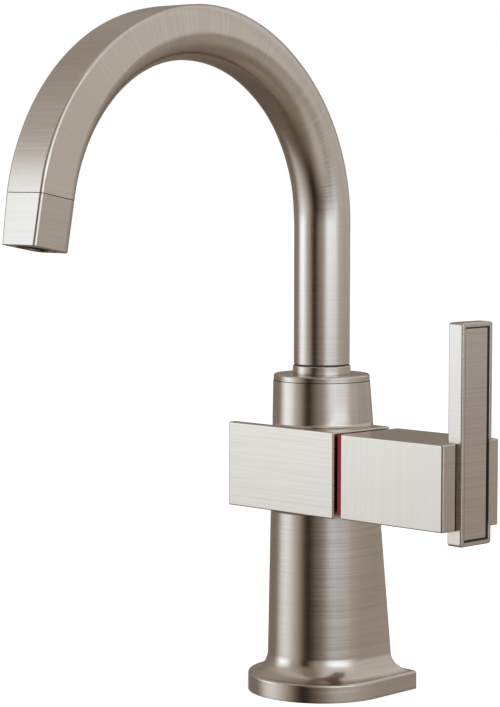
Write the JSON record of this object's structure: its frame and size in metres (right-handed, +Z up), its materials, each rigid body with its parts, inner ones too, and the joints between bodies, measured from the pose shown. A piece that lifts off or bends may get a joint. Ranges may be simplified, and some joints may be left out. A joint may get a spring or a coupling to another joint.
{
  "type": "instant hot water tap",
  "caption": "Hot water tap: tapered column on a flanged foot, square side hub with an upright lever blade, and a swivelling gooseneck spout that turns from round to square.",
  "frame": {"origin": "on the deck plane, at the axis of the column and of the spout's swivel", "axes": "+Z up from the deck, the spout points to -Y, which is the front, and the handle is at +X"},
  "size_m": [0.1241, 0.1978, 0.2898],
  "materials": {
    "brushed_nickel": "brushed",
    "brass": "machined",
    "stainless": "plain",
    "black_plastic": "moulded",
    "rubber": "matt",
    "ceramic": "lapped",
    "red_plate": "satin",
    "core_plastic": "moulded",
    "liner_plastic": "moulded",
    "aerator_plastic": "moulded"
  },
  "bodies": {
    "body": {"body_casting": "brushed_nickel", "base_insert": "brass", "base_insert_screws": "stainless", "base_gasket": "rubber", "inlet_tube": "brass", "inlet_tube_o_rings": "rubber", "seat_seal": "rubber", "fixed_disc": "ceramic", "cartridge_sleeve": "brass", "cartridge_o_ring": "rubber", "bonnet_nut": "brass", "hub_washer": "black_plastic", "swivel_collar": "brushed_nickel", "glide_ring": "black_plastic"},
    "handle": {"valve_stem": "brass", "rotating_disc": "ceramic", "stem_o_rings": "rubber", "stem_clip": "stainless", "drive_bush": "brass", "hub_core": "core_plastic", "handle_hub": "brushed_nickel", "hot_indicator": "red_plate", "set_screw": "stainless", "set_screw_plug": "brushed_nickel", "handle_blade": "brushed_nickel", "inlay_pad": "rubber", "blade_inlay": "brushed_nickel", "blade_screws": "stainless"},
    "spout": {"spout_shank": "brass", "shank_o_rings": "rubber", "shank_clip": "stainless", "spout_tube": "brushed_nickel", "spout_liner": "liner_plastic", "spout_tip": "brushed_nickel", "aerator_gasket": "rubber", "aerator_screen": "stainless", "flow_straightener": "aerator_plastic", "aerator_ring": "black_plastic"}
  },
  "joints": [
    {"name": "handle_turn", "type": "hinge", "parent": "body", "child": "handle", "pos_m": [0, -0.006, 0.0972], "axis": [1, 0, 0], "range_deg": [0, 90]},
    {"name": "spout_swivel", "type": "hinge", "parent": "body", "child": "spout", "pos_m": [0, 0, 0.1412], "axis": [0, 0, 1], "continuous": true}
  ]
}
